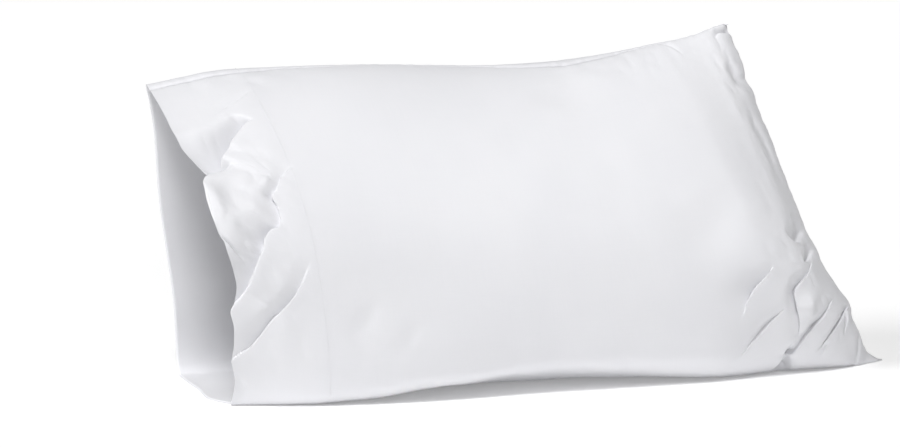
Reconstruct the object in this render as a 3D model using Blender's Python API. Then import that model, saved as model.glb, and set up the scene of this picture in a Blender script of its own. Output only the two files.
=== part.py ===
"""White cotton pillowcase that keeps the plump shape of its pillow, standing on a long edge.

The case is one piece of cloth, folded along the bottom, sewn along the top and across the closed
end, with a deep hem round the open mouth. It is one hollow shell: rings of cloth from the mouth to
the closed end, with the main folds pressed into them, given its thickness inwards.

Metres, +Z up. +X runs from the mouth to the closed end, the front faces -Y, and the origin is on
the floor under the middle of the case's box.
"""

from bisect import bisect_right
from itertools import accumulate
from math import cos, hypot, pi, sin
from typing import NamedTuple

import bmesh
import bpy
from mathutils import Vector

# The flat case: its length, and how far it is once round the mouth, twice its flat width.
CLOTH_LENGTH = 0.780
CLOTH_ROUND = 1.030

# The modelled cloth, its grid of rings, and the steps in each curve of a ring.
CLOTH_THICKNESS = 0.002
RINGS = 40
POINTS_IN_RING = 56
CURVE_STEPS = 24

# How far a ring's curves reach straight down from their fullest points, as a share of the height.
LOWER_HANDLE = 0.36

# How far in from the mouth and from the closed end the waves of their edges reach.
MOUTH_WAVE_REACH = 0.11
END_WAVE_REACH = 0.09

# How close to the closed end's seam the folds fade out.
SEAM_CALM = 0.030
# How far the closed end's seam stands over the surface that the case rests on.
SEAM_LIFT = 0.0008

# How much of the ring spacing crowds towards the mouth and the closed end.
END_CROWDING = 0.45

CASE_NAME = "case_cloth"
COTTON_COLOUR = (0.90, 0.90, 0.93, 1.0)
COTTON_ROUGHNESS = 0.85


class Place(NamedTuple):
    """Where a ring of cloth stands and how far it leans."""

    along: float       # share of the cloth's length from the mouth, 0 to 1
    foot_x: float      # where the ring stands on the floor
    skew: float        # change in x for each metre towards the back
    top_x: float       # the ring's top
    top_y: float
    top_z: float
    crown: float       # how round the top is
    drawn_in: float    # how far the ring's middle is drawn towards the mouth


PLACES = (
    #     along foot_x  skew    top_x   top_y  top_z  crown  drawn_in
    Place(0.00, -0.016, -0.187, -0.050, 0.075, 0.334, 0.018, 0.000),
    Place(0.13, 0.090, -0.120, 0.034, 0.050, 0.351, 0.034, 0.000),
    Place(0.30, 0.222, -0.060, 0.160, 0.036, 0.355, 0.046, 0.000),
    Place(0.50, 0.378, -0.020, 0.310, 0.036, 0.351, 0.050, 0.000),
    Place(0.60, 0.456, -0.010, 0.375, 0.036, 0.353, 0.048, 0.001),
    Place(0.70, 0.535, 0.000, 0.438, 0.036, 0.360, 0.046, 0.002),
    Place(0.83, 0.638, 0.000, 0.508, 0.036, 0.372, 0.036, 0.005),
    Place(0.92, 0.704, 0.000, 0.556, 0.036, 0.382, 0.022, 0.009),
    Place(0.97, 0.744, 0.000, 0.580, 0.039, 0.391, 0.014, 0.013),
    Place(1.00, 0.770, 0.000, 0.597, 0.043, 0.395, 0.006, 0.016),
)


class Outline(NamedTuple):
    """How wide a ring of cloth is at its base and where its front and back are fullest, in y."""

    along: float
    front_foot: float    # front and back edge of the flat base
    back_foot: float
    front_round: float   # how round the base's front and back edges are
    back_round: float
    front: float         # fullest point of the front, and its height
    front_z: float
    back: float          # fullest point of the back, and its height
    back_z: float
    upright: float       # how upright the sides rise from their fullest points


OUTLINES = (
    #       along front_foot back_foot front_round back_round front front_z back  back_z upright
    Outline(0.00, -0.085, 0.082, 0.010, 0.020, -0.160, 0.185, 0.094, 0.080, 0.60),
    Outline(0.13, -0.098, 0.084, 0.036, 0.040, -0.156, 0.165, 0.108, 0.100, 0.60),
    Outline(0.30, -0.084, 0.090, 0.060, 0.034, -0.146, 0.155, 0.120, 0.120, 0.60),
    Outline(0.50, -0.060, 0.088, 0.060, 0.034, -0.138, 0.150, 0.124, 0.130, 0.60),
    Outline(0.70, -0.064, 0.082, 0.040, 0.034, -0.128, 0.150, 0.118, 0.130, 0.56),
    Outline(0.83, -0.040, 0.062, 0.030, 0.030, -0.119, 0.150, 0.108, 0.130, 0.48),
    Outline(0.92, -0.034, 0.040, 0.022, 0.022, -0.100, 0.142, 0.098, 0.120, 0.40),
    Outline(0.97, -0.026, 0.014, 0.010, 0.010, -0.069, 0.132, 0.074, 0.110, 0.40),
    Outline(0.99, -0.014, 0.004, 0.006, 0.006, -0.039, 0.130, 0.044, 0.110, 0.40),
    Outline(1.00, -0.006, -0.005, 0.001, 0.001, 0.004, 0.130, 0.005, 0.110, 0.40),
)


class EdgeWave(NamedTuple):
    """How far an edge of the cloth is drawn in along x, at a distance round from the top seam.

    Distances round the mouth are positive down the front and negative down the back. The closed
    end's front and back are sewn together, so there one distance stands for both.
    """

    around: float
    drawn: float


MOUTH_WAVES = (
    #        around  drawn
    EdgeWave(-0.515, 0.002),
    EdgeWave(-0.460, -0.012),
    EdgeWave(-0.400, -0.006),
    EdgeWave(-0.250, 0.003),
    EdgeWave(0.000, -0.003),
    EdgeWave(0.100, -0.010),
    EdgeWave(0.160, -0.006),
    EdgeWave(0.198, 0.005),
    EdgeWave(0.235, -0.012),
    EdgeWave(0.280, -0.014),
    EdgeWave(0.330, -0.002),
    EdgeWave(0.515, 0.002),
)

END_WAVES = (
    #        around  drawn
    EdgeWave(0.000, 0.000),
    EdgeWave(0.200, 0.003),
    EdgeWave(0.300, 0.007),
    EdgeWave(0.386, 0.004),
    EdgeWave(0.411, 0.000),
    EdgeWave(0.450, 0.003),
    EdgeWave(0.490, 0.004),
    EdgeWave(0.515, -0.014),
)


class Fold(NamedTuple):
    """A trough in the cloth (a ridge where its depth is negative), in metres on the flat cloth.

    A place on the flat cloth is its distance from the mouth's edge, and its distance round the case
    from the top seam, down the front. Looking from the fold's start to its end on the outside of
    the case, with the top seam upwards, `left` and `right` are how far each side reaches.
    """

    name: str
    start_in: float       # from the mouth's edge
    start_round: float    # round from the top seam
    end_in: float
    end_round: float
    left: float
    right: float
    depth: float


FOLDS = (
    #    name                 start_in start_round end_in end_round left right depth
    Fold("hem funnel", 0.000, 0.200, 0.074, 0.124, 0.054, 0.036, 0.021),
    Fold("hem puff", 0.000, 0.242, 0.060, 0.188, 0.040, 0.050, -0.008),
    Fold("hem valley", 0.000, 0.362, 0.078, 0.236, 0.044, 0.040, 0.010),
    Fold("hem lower valley", 0.000, 0.436, 0.090, 0.304, 0.040, 0.040, 0.005),
    Fold("front arch", 0.240, 0.456, 0.460, 0.450, 0.056, 0.066, 0.010),
    Fold("corner valley", 0.590, 0.390, 0.664, 0.326, 0.050, 0.036, 0.008),
    Fold("corner lower valley", 0.596, 0.430, 0.654, 0.386, 0.040, 0.036, 0.006),
    Fold("corner upright", 0.684, 0.406, 0.732, 0.336, 0.036, 0.036, 0.008),
    Fold("corner tuck", 0.704, 0.450, 0.758, 0.416, 0.034, 0.034, 0.006),
    Fold("base tuck", 0.660, 0.476, 0.670, 0.430, 0.034, 0.034, 0.012),
    Fold("end dent", 0.730, 0.298, 0.775, 0.302, 0.044, 0.044, 0.010),
    Fold("back valley", 0.100, 0.720, 0.260, 0.800, 0.050, 0.044, 0.007),
    Fold("back corner valley", 0.600, 0.700, 0.710, 0.640, 0.044, 0.040, 0.008),
    Fold("back end dent", 0.730, 0.760, 0.775, 0.780, 0.044, 0.044, 0.008),
)


def smooth_read(table: tuple, column: str, along: float) -> float:
    """Read a column of a table at a value of its first column, smoothly and with no overshoot."""
    places = [row[0] for row in table]
    values = [getattr(row, column) for row in table]
    gaps = [b - a for a, b in zip(places, places[1:])]
    slopes = [(b - a) / gap for a, b, gap in zip(values, values[1:], gaps)]
    tangents = [slopes[0]]
    for index in range(1, len(slopes)):
        before, after = slopes[index - 1], slopes[index]
        flat = before * after <= 0.0
        tangents.append(0.0 if flat else 2.0 * before * after / (before + after))
    tangents.append(slopes[-1])

    row = min(max(bisect_right(places, along) - 1, 0), len(gaps) - 1)
    gap = gaps[row]
    t = (along - places[row]) / gap
    rise = t * t * (3.0 - 2.0 * t)
    leaving = t * (1.0 - t) ** 2 * gap * tangents[row]
    arriving = t * t * (t - 1.0) * gap * tangents[row + 1]
    return values[row] + rise * (values[row + 1] - values[row]) + leaving + arriving


def read_row(kind: type, table: tuple, along: float) -> NamedTuple:
    """Read all the columns of a table at one place along the case."""
    columns = [name for name in kind._fields if name != "along"]
    return kind(along, *(smooth_read(table, name, along) for name in columns))


def curve_points(start: Vector, leave: Vector, arrive: Vector, end: Vector) -> list[Vector]:
    """Points of a cubic curve from start up to, but not including, end."""
    points = []
    for step in range(CURVE_STEPS):
        t = step / CURVE_STEPS
        u = 1.0 - t
        points.append(u ** 3 * start + 3.0 * u * u * t * leave + 3.0 * u * t * t * arrive + t ** 3 * end)
    return points


def ring_outline(place: Place, outline: Outline) -> list[Vector]:
    """A ring's outline in y and z: from the top down the front, along the base and up the back."""
    top = Vector((place.top_y, place.top_z))
    front = Vector((outline.front, outline.front_z))
    back = Vector((outline.back, outline.back_z))
    front_foot = Vector((outline.front_foot, 0.0))
    back_foot = Vector((outline.back_foot, 0.0))
    crown = Vector((place.crown, 0.0))
    front_reach = Vector((outline.front_round, 0.0))
    back_reach = Vector((outline.back_round, 0.0))
    front_up = Vector((0.0, outline.upright * (place.top_z - outline.front_z)))
    back_up = Vector((0.0, outline.upright * (place.top_z - outline.back_z)))
    front_down = Vector((0.0, LOWER_HANDLE * outline.front_z))
    back_down = Vector((0.0, LOWER_HANDLE * outline.back_z))
    base_third = (back_foot - front_foot) / 3.0

    points = curve_points(top, top - crown, front + front_up, front)
    points += curve_points(front, front - front_down, front_foot - front_reach, front_foot)
    points += curve_points(front_foot, front_foot + base_third, back_foot - base_third, back_foot)
    points += curve_points(back_foot, back_foot + back_reach, back - back_down, back)
    points += curve_points(back, back + back_up, top + crown, top)
    return points


def ring_points(along: float) -> list[Vector]:
    """Evenly spaced points of one ring of cloth, starting at the top and going down the front."""
    place = read_row(Place, PLACES, along)
    outline = read_row(Outline, OUTLINES, along)
    curve = []
    for y, z in ring_outline(place, outline):
        height = min(z / place.top_z, 1.0)
        x = place.foot_x + (place.top_x - place.foot_x) * height + place.skew * y
        x -= place.drawn_in * sin(pi * height) ** 2
        curve.append(Vector((x, y, z)))
    curve.append(curve[0].copy())

    lengths = [(b - a).length for a, b in zip(curve, curve[1:])]
    travelled = [0.0, *accumulate(lengths)]
    points = []
    for index in range(POINTS_IN_RING):
        wanted = travelled[-1] * index / POINTS_IN_RING
        piece = min(bisect_right(travelled, wanted) - 1, len(lengths) - 1)
        points.append(curve[piece].lerp(curve[piece + 1], (wanted - travelled[piece]) / lengths[piece]))
    return points


def ring_place(index: int) -> float:
    """Share of the cloth's length at which a ring stands, with the rings crowded to both ends."""
    share = index / (RINGS - 1)
    crowded = 0.5 - 0.5 * cos(pi * share)
    return (1.0 - END_CROWDING) * share + END_CROWDING * crowded


def fold_depth(fold: Fold, place_in: float, place_round: float) -> float:
    """How deep a fold presses the cloth in at a place on the flat cloth."""
    run = Vector((fold.end_in - fold.start_in, fold.end_round - fold.start_round))
    from_start = Vector((place_in - fold.start_in, place_round - fold.start_round))
    forward = from_start.dot(run.normalized())
    beyond = max(-forward, forward - run.length, 0.0)
    aside = run.normalized().cross(from_start)
    reach = fold.right if aside > 0.0 else fold.left
    away = hypot(aside / reach, 2.0 * beyond / (fold.left + fold.right))
    if away >= 1.0:
        return 0.0
    return fold.depth * (0.5 + 0.5 * cos(pi * away))


def ease(share: float) -> float:
    """Rise from 0 to 1 with level ends, for shares kept within 0 to 1."""
    share = min(max(share, 0.0), 1.0)
    return share * share * (3.0 - 2.0 * share)


def drawn_in(place_in: float, place_round: float) -> float:
    """How far the waves of the mouth and of the closed end move the cloth along x at a place."""
    around = place_round if place_round <= CLOTH_ROUND / 2.0 else place_round - CLOTH_ROUND
    mouth = smooth_read(MOUTH_WAVES, "drawn", around) * ease(1.0 - place_in / MOUTH_WAVE_REACH)
    from_end = CLOTH_LENGTH - place_in
    end = smooth_read(END_WAVES, "drawn", abs(around)) * ease(1.0 - from_end / END_WAVE_REACH)
    return mouth - end


def build_case_mesh() -> bpy.types.Mesh:
    """Join the rings into a sheet, close the far end and press the folds in."""
    shell = bmesh.new()
    rings = []
    flat_places = {}
    for ring in range(RINGS):
        along = ring_place(ring)
        verts = [shell.verts.new(point) for point in ring_points(along)]
        rings.append(verts)
        for index, vert in enumerate(verts):
            flat_places[vert] = (along * CLOTH_LENGTH, CLOTH_ROUND * index / POINTS_IN_RING)

    for near, far in zip(rings, rings[1:]):
        for index in range(POINTS_IN_RING):
            after = (index + 1) % POINTS_IN_RING
            shell.faces.new((near[index], near[after], far[after], far[index]))

    # The closed end: each point on the front is joined to the one across from it on the back.
    last = rings[-1]
    half = POINTS_IN_RING // 2
    shell.faces.new((last[0], last[1], last[-1]))
    for index in range(1, half - 1):
        shell.faces.new((last[index], last[index + 1], last[-index - 1], last[-index]))
    shell.faces.new((last[half - 1], last[half], last[half + 1]))
    shell.normal_update()

    seam = set(last)
    inward = {vert: -vert.normal.copy() for vert in shell.verts}
    for vert, (place_in, place_round) in flat_places.items():
        depth = sum(fold_depth(fold, place_in, place_round) for fold in FOLDS)
        depth *= ease((CLOTH_LENGTH - place_in) / SEAM_CALM)
        vert.co += depth * inward[vert]
        vert.co.x += drawn_in(place_in, place_round)
        vert.co.z = max(vert.co.z, SEAM_LIFT if vert in seam else 0.0)

    stand_over_origin(shell)
    bmesh.ops.recalc_face_normals(shell, faces=shell.faces)
    mesh = bpy.data.meshes.new(CASE_NAME)
    shell.to_mesh(mesh)
    shell.free()
    mesh.shade_smooth()
    return mesh


def stand_over_origin(shell: bmesh.types.BMesh) -> None:
    """Move the case so that the origin is under the middle of its box."""
    xs = [vert.co.x for vert in shell.verts]
    ys = [vert.co.y for vert in shell.verts]
    middle = Vector(((min(xs) + max(xs)) / 2.0, (min(ys) + max(ys)) / 2.0, 0.0))
    for vert in shell.verts:
        vert.co -= middle


def cotton_material() -> bpy.types.Material:
    """Matt white cotton."""
    material = bpy.data.materials.new("white_cotton")
    material.use_nodes = True
    shader = material.node_tree.nodes["Principled BSDF"]
    shader.inputs["Base Color"].default_value = COTTON_COLOUR
    shader.inputs["Roughness"].default_value = COTTON_ROUGHNESS
    shader.inputs["Metallic"].default_value = 0.0
    return material


def add_case() -> bpy.types.Object:
    """The whole case: one sheet of rings, thickened inwards."""
    mesh = build_case_mesh()
    mesh.materials.append(cotton_material())
    case = bpy.data.objects.new(CASE_NAME, mesh)
    bpy.context.collection.objects.link(case)
    thickness = case.modifiers.new("cloth_thickness", "SOLIDIFY")
    thickness.thickness = CLOTH_THICKNESS
    thickness.offset = -1.0
    thickness.use_rim = True
    return case


def main() -> None:
    """Clear the scene and build the pillowcase."""
    for item in list(bpy.data.objects):
        bpy.data.objects.remove(item, do_unlink=True)
    add_case()


main()
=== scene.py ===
"""Looks of a white cotton pillowcase that stands on its folded long edge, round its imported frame.

The case is one rectangle of percale, folded along the bottom and sewn along the top and across the
closed end, with a deep hem round the open mouth. Here it is two fine sheets that meet at those
lines, with the hem's stitching, on a pale floor in soft studio light.

A place on the flat cloth is (into, round): how far it is from the mouth's edge, and how far round
from the top seam, where down the front counts up and down the back counts down. All in metres.
"""

import logging
from dataclasses import dataclass
from enum import Enum
from math import radians
from typing import NamedTuple

import bpy
import numpy as np
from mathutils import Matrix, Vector


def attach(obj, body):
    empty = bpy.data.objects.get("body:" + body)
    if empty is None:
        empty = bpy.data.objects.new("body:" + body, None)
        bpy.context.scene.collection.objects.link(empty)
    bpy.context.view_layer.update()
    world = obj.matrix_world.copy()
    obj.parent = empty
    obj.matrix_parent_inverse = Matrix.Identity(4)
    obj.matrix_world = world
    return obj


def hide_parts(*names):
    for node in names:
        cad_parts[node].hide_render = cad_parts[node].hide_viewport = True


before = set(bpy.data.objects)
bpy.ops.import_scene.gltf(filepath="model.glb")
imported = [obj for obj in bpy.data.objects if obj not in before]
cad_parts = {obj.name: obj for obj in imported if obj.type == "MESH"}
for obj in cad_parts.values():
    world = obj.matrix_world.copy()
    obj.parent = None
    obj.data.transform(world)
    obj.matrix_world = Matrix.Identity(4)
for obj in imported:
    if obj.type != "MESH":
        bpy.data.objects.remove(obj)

Array = np.ndarray

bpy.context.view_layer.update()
CAD_NODE = "case_cloth"
BODY = "root"

CLOTH_LENGTH = 0.780
CLOTH_ROUND = 1.030
HALF_ROUND = CLOTH_ROUND / 2.0
HEM_DEPTH = 0.105
SEED = 7
MIDDLE = (0.3585, -0.017)    # the origin, in the tables' own x and y

log = logging.getLogger("pillowcase")


class Place(NamedTuple):
    """Where a ring of cloth stands and how far it leans."""

    along: float       # share of the cloth's length from the mouth, 0 to 1
    foot_x: float      # where the ring stands on the floor
    skew: float        # change in x for each metre towards the back
    top_x: float       # the ring's top
    top_y: float
    top_z: float
    crown: float       # how round the top is
    drawn_in: float    # how far the ring's middle is drawn towards the mouth


PLACES = (
    #     along foot_x  skew    top_x   top_y  top_z  crown  drawn_in
    Place(0.00, -0.016, -0.187, -0.0505, 0.075, 0.3336, 0.018, 0.000),
    Place(0.13, 0.090, -0.120, 0.0342, 0.050, 0.3515, 0.034, 0.000),
    Place(0.30, 0.222, -0.060, 0.160, 0.036, 0.355, 0.046, 0.000),
    Place(0.50, 0.378, -0.020, 0.310, 0.036, 0.351, 0.050, 0.000),
    Place(0.60, 0.456, -0.010, 0.375, 0.036, 0.353, 0.048, 0.001),
    Place(0.70, 0.535, 0.000, 0.438, 0.036, 0.3595, 0.046, 0.002),
    Place(0.83, 0.638, 0.000, 0.508, 0.036, 0.372, 0.036, 0.005),
    Place(0.92, 0.704, 0.000, 0.556, 0.036, 0.3825, 0.022, 0.009),
    Place(0.97, 0.744, 0.000, 0.580, 0.039, 0.391, 0.014, 0.013),
    Place(1.00, 0.770, 0.000, 0.597, 0.043, 0.3945, 0.006, 0.016),
)


class Outline(NamedTuple):
    """How wide a ring of cloth is at its base and where its front and back are fullest, in y."""

    along: float
    front_foot: float    # front and back edge of the flat base
    back_foot: float
    front_round: float   # how round the base's front and back edges are
    back_round: float
    front: float         # fullest point of the front, and its height
    front_z: float
    back: float          # fullest point of the back, and its height
    back_z: float
    upright: float       # how upright the sides rise from their fullest points


OUTLINES = (
    #       along front_foot back_foot front_round back_round front front_z back  back_z upright
    Outline(0.00, -0.085, 0.082, 0.010, 0.020, -0.160, 0.185, 0.094, 0.080, 0.60),
    Outline(0.13, -0.098, 0.084, 0.036, 0.040, -0.156, 0.165, 0.108, 0.100, 0.60),
    Outline(0.30, -0.084, 0.090, 0.060, 0.034, -0.146, 0.155, 0.120, 0.120, 0.60),
    Outline(0.50, -0.060, 0.088, 0.060, 0.034, -0.138, 0.150, 0.124, 0.130, 0.60),
    Outline(0.70, -0.064, 0.082, 0.040, 0.034, -0.128, 0.150, 0.118, 0.130, 0.56),
    Outline(0.83, -0.040, 0.062, 0.030, 0.030, -0.119, 0.150, 0.108, 0.130, 0.48),
    Outline(0.92, -0.034, 0.040, 0.022, 0.022, -0.100, 0.142, 0.098, 0.120, 0.40),
    Outline(0.97, -0.026, 0.014, 0.010, 0.010, -0.069, 0.132, 0.074, 0.110, 0.40),
    Outline(0.99, -0.014, 0.004, 0.006, 0.006, -0.039, 0.130, 0.044, 0.110, 0.40),
    Outline(1.00, -0.006, -0.005, 0.001, 0.001, 0.004, 0.130, 0.005, 0.110, 0.40),
)


# How far the edges are drawn in along x, as pairs: the distance round from the top seam, and how far.
MOUTH_WAVES = (
    (-0.515, 0.0034), (-0.500, -0.0060), (-0.480, -0.0120), (-0.430, -0.0065),
    (-0.380, -0.0050), (-0.310, 0.0010), (-0.245, 0.0036), (-0.200, 0.0025),
    (-0.140, 0.0010), (-0.060, 0.0036), (-0.030, 0.0020), (0.000, -0.0030),
    (0.100, -0.0125), (0.137, -0.0155), (0.154, -0.0145), (0.172, -0.0055),
    (0.188, 0.0045), (0.200, 0.0180), (0.210, 0.0150), (0.219, 0.0020),
    (0.232, -0.0100), (0.250, -0.0160), (0.279, -0.0145), (0.304, -0.0080),
    (0.329, -0.0020), (0.350, 0.0010), (0.378, -0.0025), (0.417, -0.0020),
    (0.440, -0.0034), (0.472, 0.0015), (0.505, 0.0000), (0.515, 0.0034),
)
END_WAVES = (
    (-0.515, -0.0090), (-0.497, 0.0040), (-0.440, 0.0000), (-0.300, 0.0030),
    (-0.150, -0.0010), (0.000, 0.0000), (0.060, 0.0000), (0.084, 0.0040),
    (0.100, 0.0016), (0.130, 0.0030), (0.171, 0.0019), (0.215, 0.0033),
    (0.253, 0.0043), (0.281, 0.0063), (0.298, 0.0080), (0.316, 0.0065),
    (0.349, 0.0075), (0.386, 0.0038), (0.411, -0.0010), (0.440, 0.0040),
    (0.460, 0.0025), (0.496, 0.0040), (0.515, -0.0090),
)


class Crease(NamedTuple):
    """A fold along a bent line: it slopes gently in on its left and comes steeply out on its right.

    The line runs through its points, with the top seam upwards, seen from outside the case. `crisp` is
    0 for a round trough and 1 for a sharp fold. `lip` is how far the right side stands up past the
    cloth round it, and `roll` how far it leans back over the fold, both as shares of the depth.
    """

    name: str
    crisp: float
    lip: float
    roll: float
    line: tuple[tuple[float, float, float, float, float], ...]


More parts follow.
